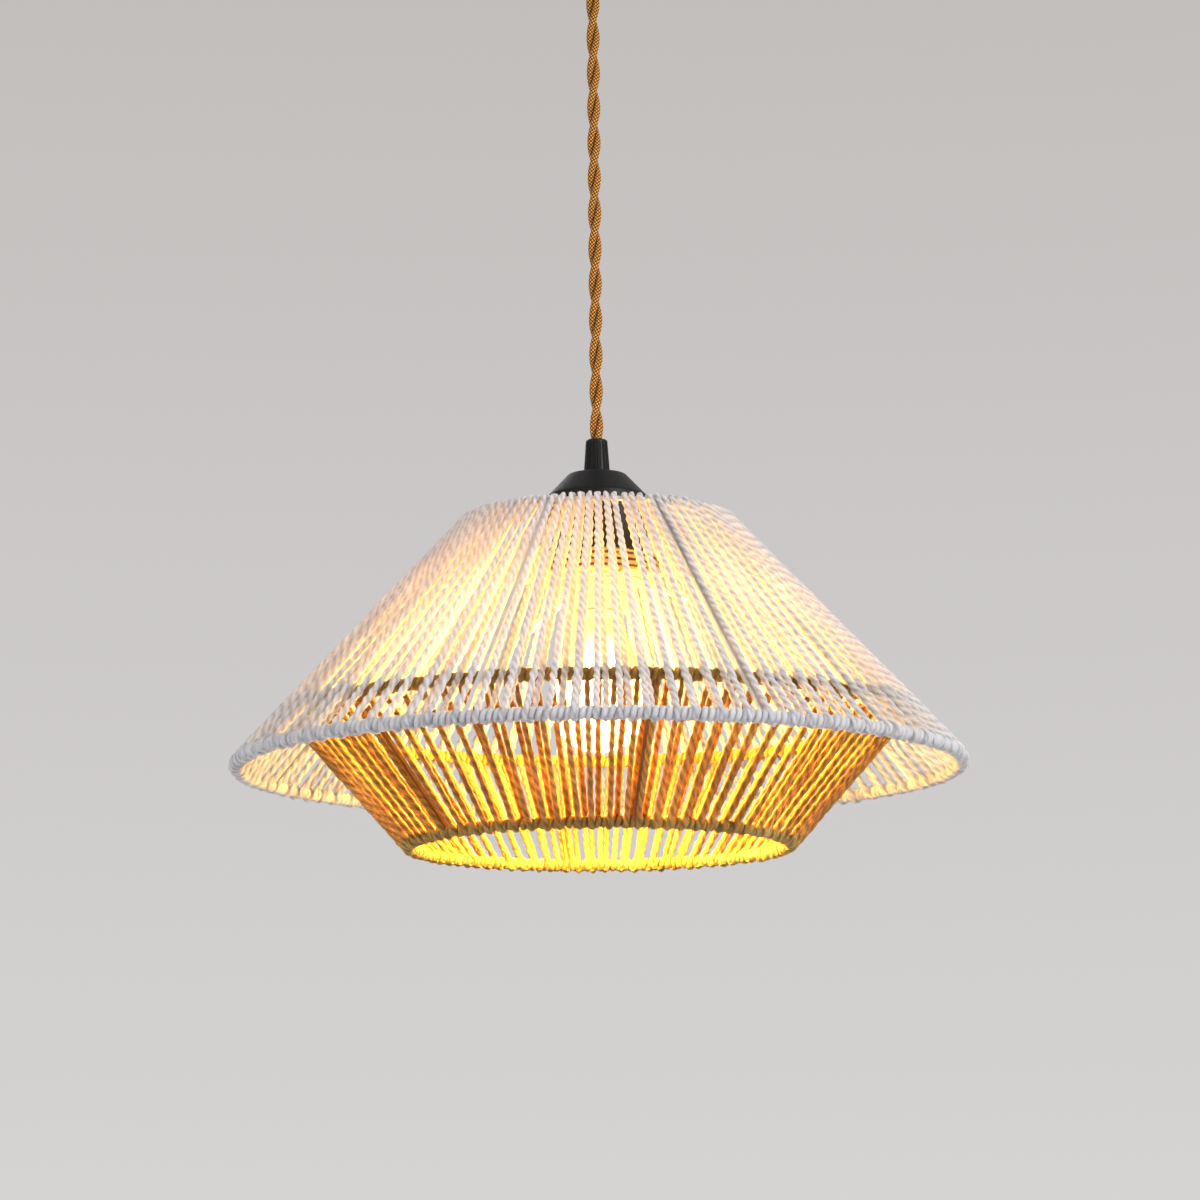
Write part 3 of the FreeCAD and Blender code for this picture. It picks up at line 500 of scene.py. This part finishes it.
def braid_finish(name, tint):
    """Woven cord cover: two sets of threads that cross on the slant, with painted light and shade.
    """
    material, tree, shader = blank(name, Specular_IOR_Level=0.22, Sheen_Weight=0.06,
                                   Sheen_Roughness=0.35)
    place = add(tree, "ShaderNodeTexCoord").outputs["UV"]
    parts = add(tree, "ShaderNodeSeparateXYZ", {0: place})
    across = calc(tree, "MULTIPLY", parts.outputs[0], BRAID_THREADS)
    threads = []
    for sign in (1.0, -1.0):
        lean = calc(tree, "MULTIPLY_ADD", parts.outputs[1], sign, across)
        threads.append(calc(tree, "ABSOLUTE", calc(tree, "SINE", calc(
            tree, "MULTIPLY", lean, math.pi))))
    height = calc(tree, "MULTIPLY", threads[0], threads[1])
    fibre = add(tree, "ShaderNodeTexNoise", {"Vector": place, "Scale": 24.0,
                                             "Detail": 3.0}).outputs["Fac"]
    # Painted highlight on the raised threads and painted shade between them, from the weave's
    # relief.
    lift_and_shade = calc(tree, "MULTIPLY_ADD", fibre, 0.35, calc(tree, "MULTIPLY", height, 0.75))
    shade = ramp(tree, lift_and_shade, (0.26, shaded(tint, 0.10)), (0.5, tint), (0.78, (0.95, 0.45, 0.09)))
    # Painted shade in the cleft between the cord's two strands.
    shade_factor = add(tree, "ShaderNodeAttribute", attribute_name="groove_shade").outputs["Fac"]
    mixed = add(tree, "ShaderNodeMix", {0: shade_factor}, data_type="RGBA", blend_type="MIX")
    tree.links.new(shade, mixed.inputs[6])
    mixed.inputs[7].default_value = (*shaded(tint, 0.08), 1)
    tree.links.new(mixed.outputs[2], shader.inputs["Base Color"])
    rough = add(tree, "ShaderNodeMapRange", {0: fibre, 3: 0.4, 4: 0.7})
    tree.links.new(rough.outputs[0], shader.inputs["Roughness"])
    bumped(tree, shader, lift_and_shade, 0.0004, 0.9)
    return material


def mottled(name, low, high, scale, rough, bump, **constants):
    """A hard finish with faint cloudiness, uneven gloss and a fine surface grain."""
    material, tree, shader = blank(name, **constants)
    place = add(tree, "ShaderNodeTexCoord").outputs["Object"]
    cloud = add(tree, "ShaderNodeTexNoise", {"Vector": place, "Scale": scale,
                                             "Detail": 3.0}).outputs["Fac"]
    tree.links.new(ramp(tree, cloud, (0.3, low), (0.7, high)), shader.inputs["Base Color"])
    fine = add(tree, "ShaderNodeTexNoise", {"Vector": place, "Scale": scale * 14,
                                            "Detail": 4.0}).outputs["Fac"]
    uneven = add(tree, "ShaderNodeMapRange", {0: calc(tree, "MULTIPLY_ADD", fine, 0.5, calc(
        tree, "MULTIPLY", cloud, 0.5)), 1: 0.3, 2: 0.7, 3: rough[0], 4: rough[1]})
    tree.links.new(uneven.outputs[0], shader.inputs["Roughness"])
    bumped(tree, shader, fine, bump, 0.6)
    return material


def painted_grooves(name, low, high, collar_shade_tint, spacing):
    """Moulded surface with level grooves round it, darkened with painted shade."""
    material, tree, shader = blank(name)
    place = add(tree, "ShaderNodeTexCoord").outputs["Object"]
    cloud = add(tree, "ShaderNodeTexNoise", {"Vector": place, "Scale": 140.0,
                                             "Detail": 3.0}).outputs["Fac"]
    level = add(tree, "ShaderNodeSeparateXYZ", {0: place}).outputs[2]
    # Painted shade in the grooves: a level wave darkens the colour towards the darkest tint.
    wave = calc(tree, "SINE", calc(tree, "MULTIPLY", level, FULL_TURN / spacing))
    share = calc(tree, "MULTIPLY_ADD", wave, 0.25, calc(tree, "MULTIPLY_ADD", cloud, 0.5, 0.25))
    tree.links.new(ramp(tree, share, (0.30, collar_shade_tint), (0.46, low), (0.75, high)),
                   shader.inputs["Base Color"])
    rough = add(tree, "ShaderNodeMapRange", {0: cloud, 1: 0.3, 2: 0.7, 3: 0.38, 4: 0.6})
    tree.links.new(rough.outputs[0], shader.inputs["Roughness"])
    bumped(tree, shader, share, 0.0005)
    return material


def glowing_core(glow):
    """The bulb's light, whitest low down and warmer towards its neck."""
    material, tree, shader = blank("bulb_core_finish", Roughness=0.6,
                                   Emission_Strength=CORE_STRENGTH)
    place = add(tree, "ShaderNodeTexCoord").outputs["Object"]
    low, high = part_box("bulb_glass")
    level = add(tree, "ShaderNodeSeparateXYZ", {0: place}).outputs[2]
    share = add(tree, "ShaderNodeMapRange", {0: level, 1: low.z, 2: high.z}).outputs[0]
    haze = add(tree, "ShaderNodeTexNoise", {"Vector": place, "Scale": 60.0}).outputs["Fac"]
    warmth = calc(tree, "MULTIPLY_ADD", haze, 0.1, share)
    tint = ramp(tree, warmth, (0.0, (1.0, 0.86, 0.56)), (0.5, (0.8, 0.60, 0.30)),
                (0.9, shaded(glow, 0.25)))
    tree.links.new(tint, shader.inputs["Emission Color"])
    tree.links.new(ramp(tree, haze, (0.3, (0.90, 0.88, 0.82)), (0.7, (0.97, 0.95, 0.90))),
                   shader.inputs["Base Color"])
    return material


def finishes():
    """Every slot's finish, made once."""
    if not FINISHES:
        tints = bpy.context.scene.lantern_colours
        brown = tuple(tints.brown_rope)
        FINISHES.update({
            # Ropes: tint, painted crease shade, painted crease highlight, translucency and its
            # spread.
            "white_rope": rope_finish("white_rope_finish", tuple(tints.white_rope), 0.72,
                                      (0.98, 0.96, 0.97), 0.8, (1.0, 0.85, 0.62)),
            "brown_rope": rope_finish("brown_rope_finish", brown, 0.42, (0.84, 0.57, 0.20), 0.7,
                                      (0.75, 0.6, 0.1)),
            "cord_braid": braid_finish("cord_braid_finish", tuple(tints.cord)),
            "bulb_core": glowing_core(tuple(tints.glow)),
            "bulb_glass": mottled("bulb_glass_finish", (0.97, 0.92, 0.80), (1.0, 0.96, 0.86), 60.0,
                                  (0.24, 0.34), 0.00003, Transmission_Weight=1.0, IOR=1.2),
            "zinc_steel": mottled("zinc_steel_finish", (0.50, 0.51, 0.53), (0.66, 0.67, 0.70), 60.0,
                                  (0.28, 0.45), 0.00004, Metallic=1.0),
            "black_metal": mottled("black_metal_finish", (0.004, 0.004, 0.0045),
                                   (0.009, 0.009, 0.010), 45.0, (0.36, 0.5), 0.00006,
                                   Specular_IOR_Level=0.22),
            "black_plastic": mottled("black_plastic_finish", (0.004, 0.004, 0.004),
                                     (0.010, 0.010, 0.010), 70.0, (0.34, 0.5), 0.00006,
                                     Specular_IOR_Level=0.22),
            "white_plastic": mottled("white_plastic_finish", (0.72, 0.71, 0.67),
                                     (0.84, 0.83, 0.80), 60.0, (0.38, 0.52), 0.00005),
            "ceramic": mottled("ceramic_finish", (0.78, 0.76, 0.71), (0.88, 0.86, 0.82), 90.0,
                               (0.14, 0.28), 0.00003, Coat_Weight=0.5, Coat_Roughness=0.1),
            "brass": mottled("brass_finish", (0.62, 0.42, 0.16), (0.80, 0.60, 0.28), 80.0,
                             (0.24, 0.42), 0.00003, Metallic=1.0),
            "nickel_brass": mottled("nickel_finish", (0.58, 0.55, 0.48), (0.74, 0.71, 0.64), 80.0,
                                    (0.18, 0.34), 0.00003, Metallic=1.0),
            "core_insulation": mottled("core_finish", (0.50, 0.48, 0.42), (0.66, 0.63, 0.56), 90.0,
                                       (0.38, 0.5), 0.00004),
            "clear_glass": mottled("post_glass_finish", (0.86, 0.85, 0.80), (0.95, 0.94, 0.90),
                                   60.0, (0.08, 0.2), 0.00002),
            "white_wire": mottled("white_wire_finish", (0.80, 0.78, 0.75), (0.90, 0.88, 0.86), 70.0,
                                  (0.36, 0.5), 0.00005),
            # The collar's darkest tint is painted shade in its grooves.
            "collar": painted_grooves("collar_finish", (0.52, 0.36, 0.14), (0.66, 0.50, 0.24),
                              (0.07, 0.03, 0.01), 0.0038),
            "brown_wire": mottled("brown_wire_finish", (0.22, 0.09, 0.015), (0.38, 0.18, 0.04),
                                  70.0, (0.38, 0.55), 0.00005),
        })
    return FINISHES


# ---- Shades ----

def ring_of(node):
    """A wire ring's middle radius and level."""
    low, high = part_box(node)
    wire = (high.z - low.z) / 2
    return (high.x - low.x) / 2 - wire, (high.z + low.z) / 2


def loop_guide(name, top, bottom, foot, crown, aside, step=0.0015):
    """One loop of rope in the XZ plane, foot away from the lower ring and crown from the upper one.

    Its way down inside lies aside from its way up outside, in shares of the strands' spacing.
    """
    high, low = Vector(top), Vector(bottom)
    rise = (high - low).normalized()
    out = Vector((rise.y, -rise.x))
    if out.x < 0:
        out = -out
    run = (high - low).length
    count = max(8, round(run / step))
    bends = BEND_STEPS
    places = []
    for i in range(bends):
        turn = math.pi / 2 * i / bends
        places.append((low - rise * foot * math.cos(turn) + out * foot * math.sin(turn), 0.0, 0.0))
    for i in range(count):
        places.append((low.lerp(high, i / count) + out * (foot + (crown - foot) * i / count),
                       0.5 * i / count, 0.0))
    for i in range(bends):
        turn = math.pi * i / bends
        places.append((high + out * crown * math.cos(turn) + rise * crown * math.sin(turn), 0.5,
                       aside * i / bends))
    for i in range(count):
        places.append((high.lerp(low, i / count) - out * (crown + (foot - crown) * i / count),
                       0.5 + 0.5 * i / count, aside))
    for i in range(bends + 1):
        turn = math.pi / 2 * i / bends
        places.append((low - out * foot * math.cos(turn) - rise * foot * math.sin(turn), 1.0,
                       aside))
    guide = bpy.data.meshes.new(name)
    guide.from_pydata([(p.x, 0, p.y) for p, _, _ in places],
                      [(i, i + 1) for i in range(len(places) - 1)], [])
    weights = {
        "progress": [sideways for _, _, sideways in places],
        "foot_outside": [max(0.0, 1 - 2 * share) for _, share, _ in places],
        "top": [1 - abs(2 * share - 1) for _, share, _ in places],
        "foot_inside": [max(0.0, 2 * share - 1) for _, share, _ in places],
    }
    for label, numbers in weights.items():
        guide.attributes.new(label, "FLOAT", "POINT").data.foreach_set("value", numbers)
    return guide


def strand_sectors(shade, sectors, total, slot, reach, values, *stands_for):
    """Rope strands all round a shade, in sectors; the first stands for the frame's rope."""
    top, bottom = ring_of(f"{shade}_top_ring"), ring_of(f"{shade}_bottom_ring")
    tree = strand_tree()
    edges = [round(total * k / sectors) for k in range(sectors + 1)]
    for number, (first, last) in enumerate(zip(edges, edges[1:]), start=1):
        name = f"{shade}_rope_sector_{number}"
        mesh = grown(name, tree, {
            "Strands all round": total, "First strand": first, "Strands here": last - first,
            "Material": finishes()[slot], **values},
            loop_guide(f"{shade}_guide_{number}", top, bottom, *reach))
        piece(name, mesh, "shade", slot, *(stands_for if number == 1 else ()))


class LANTERN_OT_outer_shade(bpy.types.Operator):
    """White rope looped over the outer shade's two rings"""
    bl_idname = "lantern.outer_shade"
    bl_label = "Outer Shade Rope"

    def execute(self, context):
        sizes = context.scene.lantern_sizes
        strand_sectors("outer", 3, sizes.outer_strands, "white_rope", (0.0034, 0.0028, 0.22), {
            "Rope thickness": sizes.white_rope, "Rope lay": sizes.rope_pitch, "Foot play": 0.20,
            "Top play": 0.14, "Waver": 0.0010, "Waist": 0.38, "Seed": 11},
            "outer_rope_outside", "outer_rope_inside", "outer_top_wrap")
        return {"FINISHED"}


class LANTERN_OT_inner_shade(bpy.types.Operator):
    """Brown rope looped over the inner shade's two rings"""
    bl_idname = "lantern.inner_shade"
    bl_label = "Inner Shade Rope"

    def execute(self, context):
        sizes = context.scene.lantern_sizes
        strand_sectors("inner", 2, sizes.inner_strands, "brown_rope", (0.0030, 0.0030, 0.5), {
            "Rope thickness": sizes.brown_rope, "Rope lay": sizes.rope_pitch, "Foot play": 0.16,
            "Top play": 0.12, "Waver": 0.0012, "Waist": 0.28, "Seed": 47},
            "inner_rope_outside", "inner_rope_inside")
        return {"FINISHED"}


class LANTERN_OT_ring_coils(bpy.types.Operator):
    """Rope wound closely round three of the four rings"""
    bl_idname = "lantern.ring_coils"
    bl_label = "Ring Coils"

    def execute(self, context):
        spacing = context.scene.lantern_sizes.coil_spacing
        tree = coil_tree()
        for ring, (slot, wrap, thickness, seed) in COILS.items():
            radius, level = ring_of(f"{ring}_ring")
            mesh = grown(f"{ring}_coils", tree, {
                "Ring radius": radius, "Level": level, "Winding radius": wrap - thickness / 2,
                "Turns": round(FULL_TURN * radius / spacing), "Steps per turn": COIL_STEPS,
                "Rope thickness": thickness, "Unevenness": 0.50, "Seed": seed,
                "Material": finishes()[slot]})
            piece(f"{ring}_coils", mesh, "shade", slot, f"{ring}_wrap")
        return {"FINISHED"}


# ---- Cord ----

def route_points():
    """Points along the cord's smooth line."""
    route = bpy.data.curves.new("cord_route", "CURVE")
    route.dimensions = "3D"
    route.resolution_u = 44
    line = route.splines.new("NURBS")
    line.points.add(len(CORD_POINTS) - 1)
    for point, place in zip(line.points, CORD_POINTS):
        point.co = (*place, 1)
    line.order_u = 3
    line.use_endpoint_u = True
    holder = bpy.data.objects.new("cord_route", route)
    bpy.context.scene.collection.objects.link(holder)
    graph = bpy.context.evaluated_depsgraph_get()
    mesh = bpy.data.meshes.new_from_object(holder.evaluated_get(graph))
    points = [vertex.co.copy() for vertex in mesh.vertices]
    bpy.data.objects.remove(holder)
    bpy.data.meshes.remove(mesh)
    return points


def strand_ring(centre, ahead, radius, sides):
    """Points round a strand's centre, square to the way it runs."""
    side = ahead.cross(Vector((0, 1, 0))).normalized()
    up = side.cross(ahead).normalized()
    return [centre + (side * math.cos(FULL_TURN * k / sides)
                      + up * math.sin(FULL_TURN * k / sides)) * radius for k in range(sides)]


class LANTERN_OT_cord(bpy.types.Operator):
    """Two braided strands twisted together, from the canopy's grip to the lamp's grip"""
    bl_idname = "lantern.cord"
    bl_label = "Twisted Cord"

    def execute(self, context):
        sizes = context.scene.lantern_sizes
        points = route_points()
        lengths = [0.0]
        for before, after in zip(points, points[1:]):
            lengths.append(lengths[-1] + (after - before).length)
        radius = sizes.cord_strand / 2
        swing = CORD_RADIUS - radius
        sides = CORD_SIDES
        work = bmesh.new()
        uv = work.loops.layers.uv.new("UVMap")
        for start in (CORD_START, CORD_START + math.pi):
            centres = []
            for point, length in zip(points, lengths):
                angle = start + FULL_TURN * length / sizes.cord_pitch
                centres.append(point + Vector((math.cos(angle), math.sin(angle), 0)) * swing)
            aheads = [(centres[min(i + 1, len(centres) - 1)] - centres[max(i - 1, 0)]).normalized()
                      for i in range(len(centres))]
            aheads[0], aheads[-1] = Vector((0, 0, 1)), Vector((0, 0, 1))
            rings = [[work.verts.new(p) for p in strand_ring(c, a, radius, sides)]
                     for c, a in zip(centres, aheads)]
            for i in range(len(rings) - 1):
                for k in range(sides):
                    corners = ((i, k), (i, k + 1), (i + 1, k + 1), (i + 1, k))
                    face = work.faces.new([rings[a][b % sides] for a, b in corners])
                    face.smooth = True
                    for loop, (a, b) in zip(face.loops, corners):
                        loop[uv].uv = (b / sides, lengths[a] / BRAID_CELL)
            work.faces.new(list(reversed(rings[0])))
            work.faces.new(rings[-1])
        bmesh.ops.recalc_face_normals(work, faces=work.faces)
        mesh = bpy.data.meshes.new("cord_strands")
        work.to_mesh(mesh)
        work.free()
        # Painted shade in the cleft between the two strands, darkest nearest the cord's axis.
        cleft_shade = [max(0.0, min(1.0, (CLEFT_SHADE_EDGE - vertex.co.xy.length) / CLEFT_SHADE_DEPTH)) ** 0.8
                  for vertex in mesh.vertices]
        mesh.attributes.new("groove_shade", "FLOAT", "POINT").data.foreach_set("value", cleft_shade)
        mesh.materials.append(finishes()["cord_braid"])
        made = piece("cord_strands", mesh, "cord", "cord_braid", "cord")
        return {"FINISHED"}


# ---- Lamp head and hardware ----

def smoothed(node, angle=35, finish=None):
    """A smooth-shaded copy of a turned frame piece, which it stands for."""
    source = frame["nodes"][node]
    work = bmesh.new()
    work.from_mesh(source.data)
    bmesh.ops.remove_doubles(work, verts=work.verts, dist=WELD)
    mesh = bpy.data.meshes.new(f"{node}_finished")
    work.to_mesh(mesh)
    work.free()
    if "custom_normal" in mesh.attributes:
        mesh.attributes.remove(mesh.attributes["custom_normal"])
    mesh.materials.clear()
    mesh.materials.append(finishes()[finish or SLOT_OF[node]])
    mesh.shade_smooth()
    mesh.set_sharp_from_angle(angle=math.radians(angle))
    return piece(f"{node}_finished", mesh, source["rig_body"], SLOT_OF[node], node)


class LANTERN_OT_bulb_core(bpy.types.Operator):
    """The glowing core inside the bulb's frosted glass, and its light"""
    bl_idname = "lantern.bulb_core"
    bl_label = "Bulb Core"

    def execute(self, context):
        low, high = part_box("bulb_glass")
        radius = (high.x - low.x) / 2
        sides = CORE_SIDES
        work = bmesh.new()
        ends = [work.verts.new((0, 0, low.z + radius * up)) for up in CORE_ENDS]
        rings = [[work.verts.new((radius * out * math.cos(FULL_TURN * k / sides),
                                  radius * out * math.sin(FULL_TURN * k / sides),
                                  low.z + radius * up)) for k in range(sides)]
                 for out, up in CORE_PROFILE]
        for below, above in zip(rings, rings[1:]):
            for k in range(sides):
                work.faces.new((below[k - 1], below[k], above[k], above[k - 1]))
        for k in range(sides):
            work.faces.new((ends[0], rings[0][k], rings[0][k - 1]))
            work.faces.new((ends[1], rings[-1][k - 1], rings[-1][k]))
        bmesh.ops.recalc_face_normals(work, faces=work.faces)
        mesh = bpy.data.meshes.new("bulb_core")
        work.to_mesh(mesh)
        work.free()
        mesh.shade_smooth()
        mesh.materials.append(finishes()["bulb_core"])
        core = piece("bulb_core", mesh, "bulb", "bulb_glass")

        glow = bpy.data.lights.new("bulb_glow", "POINT")
        glow.energy = BULB_POWER
        glow.use_soft_falloff = False
        glow.color = context.scene.lantern_colours.glow
        glow.shadow_soft_size = radius + GLASS_MARGIN
        source = bpy.data.objects.new("bulb_glow", glow)
        context.scene.collection.objects.link(source)
        source.location = (0, 0, low.z + radius)
        source.visible_camera = False
        source.visible_transmission = False
        source.parent = core
        return {"FINISHED"}


class LANTERN_OT_lamp_head(bpy.types.Operator):
    """Smooth finish on the grips, cap, lampholder, collar, ring, bulb and canopy"""
    bl_idname = "lantern.lamp_head"
    bl_label = "Lamp Head"

    def execute(self, context):
        for node in ("canopy_cup", "lamp_cap", "lampholder", "shade_ring", "bulb_glass",
                     "bulb_base", "socket_shell", "spider_hub"):
            smoothed(node)
        smoothed("holder_collar", finish="collar")
        smoothed("canopy_grip", angle=GRIP_ANGLE)
        smoothed("lamp_grip", angle=GRIP_ANGLE)
        return {"FINISHED"}


class LANTERN_OT_hardware(bpy.types.Operator):
    """Finish on every frame piece that shows as it is"""
    bl_idname = "lantern.hardware"
    bl_label = "Hardware"

    def execute(self, context):
        for node, thing in frame["nodes"].items():
            thing.data.materials.clear()
            thing.data.materials.append(finishes()[SLOT_OF[node]])
        return {"FINISHED"}


# ---- Stage ----

def softbox(name, place, size, energy, tint):
    """A round soft light aimed at the lamp's middle."""
    lamp = bpy.data.lights.new(name, "AREA")
    lamp.shape = "DISK"
    lamp.size = size
    lamp.energy = energy
    lamp.color = tint
    holder = bpy.data.objects.new(name, lamp)
    bpy.context.scene.collection.objects.link(holder)
    holder.location = place
    aim = Vector(LAMP_MIDDLE) - Vector(place)
    holder.rotation_euler = aim.to_track_quat("-Z", "Y").to_euler()


class LANTERN_OT_stage(bpy.types.Operator):
    """Pale floor, soft lights and camera"""
    bl_idname = "lantern.stage"
    bl_label = "Stage"

    def execute(self, context):
        scene = context.scene
        camera = bpy.data.objects.new("camera", bpy.data.cameras.new("camera"))
        scene.collection.objects.link(camera)
        camera.data.lens = CAMERA_LENS
        camera.data.sensor_width = CAMERA_SENSOR
        camera.data.shift_x = CAMERA_SHIFT
        camera.location = CAMERA_PLACE
        nod = Matrix.Rotation(math.pi / 2 + CAMERA_NOD, 3, "X")
        roll = Matrix.Rotation(CAMERA_ROLL, 3, "Z")
        camera.rotation_euler = (nod @ roll).to_euler()
        scene.camera = camera

        floor = bpy.data.meshes.new("floor")
        half = FLOOR_HALF
        corners = ((-half, -half), (half, -half), (half, half), (-half, half))
        floor.from_pydata([(x, y, FLOOR_LEVEL) for x, y in corners], [], [(0, 1, 2, 3)])
        floor.materials.append(mottled("floor_finish", (0.78, 0.78, 0.77), (0.82, 0.82, 0.81), 0.6,
                                       (0.7, 0.8), 0.0001))
        ground = bpy.data.objects.new("floor", floor)
        scene.collection.objects.link(ground)

        world = bpy.data.worlds.new("studio")
        scene.world = world
        world.use_nodes = True
        tree = world.node_tree
        facing = add(tree, "ShaderNodeTexCoord").outputs["Generated"]
        height = add(tree, "ShaderNodeSeparateXYZ", {0: facing}).outputs[2]
        pale = ramp(tree, height, (0.0, (0.68, 0.67, 0.67)), (0.05, (0.66, 0.645, 0.64)),
                    (0.34, (0.53, 0.51, 0.50)), (1.0, (0.60, 0.60, 0.60)))
        tree.links.new(pale, tree.nodes["Background"].inputs["Color"])
        tree.nodes["Background"].inputs["Strength"].default_value = 1.0

        for light in LIGHTS:
            softbox(*light)

        scene.view_settings.view_transform = "Standard"
        return {"FINISHED"}


class LANTERN_PT_panel(bpy.types.Panel):
    """The lantern's sizes, colours and pieces"""
    bl_idname = "LANTERN_PT_panel"
    bl_label = "Hanging Lantern"
    bl_space_type = "VIEW_3D"
    bl_region_type = "UI"
    bl_category = "Lantern"

    def draw(self, context):
        layout = self.layout
        for group in (context.scene.lantern_sizes, context.scene.lantern_colours):
            for key in group.__annotations__:
                layout.prop(group, key)
        for operator in OPERATORS:
            layout.operator(operator.bl_idname)


OPERATORS = (LANTERN_OT_stage, LANTERN_OT_cord, LANTERN_OT_outer_shade, LANTERN_OT_inner_shade,
             LANTERN_OT_ring_coils, LANTERN_OT_bulb_core, LANTERN_OT_lamp_head,
             LANTERN_OT_hardware)
CLASSES = (LanternSizes, LanternColours, *OPERATORS, LANTERN_PT_panel)


def register():
    """Makes the classes and the settings known."""
    for item in CLASSES:
        bpy.utils.register_class(item)
    bpy.types.Scene.lantern_sizes = bpy.props.PointerProperty(type=LanternSizes)
    bpy.types.Scene.lantern_colours = bpy.props.PointerProperty(type=LanternColours)


def unregister():
    """Takes the settings and the classes away again."""
    del bpy.types.Scene.lantern_colours
    del bpy.types.Scene.lantern_sizes
    for item in reversed(CLASSES):
        bpy.utils.unregister_class(item)


def main():
    """Makes the whole lantern."""
    register()
    bpy.ops.lantern.stage()
    bpy.ops.lantern.cord()
    bpy.ops.lantern.outer_shade()
    bpy.ops.lantern.inner_shade()
    bpy.ops.lantern.ring_coils()
    bpy.ops.lantern.bulb_core()
    bpy.ops.lantern.lamp_head()
    bpy.ops.lantern.hardware()


if __name__ == "__main__":
    main()
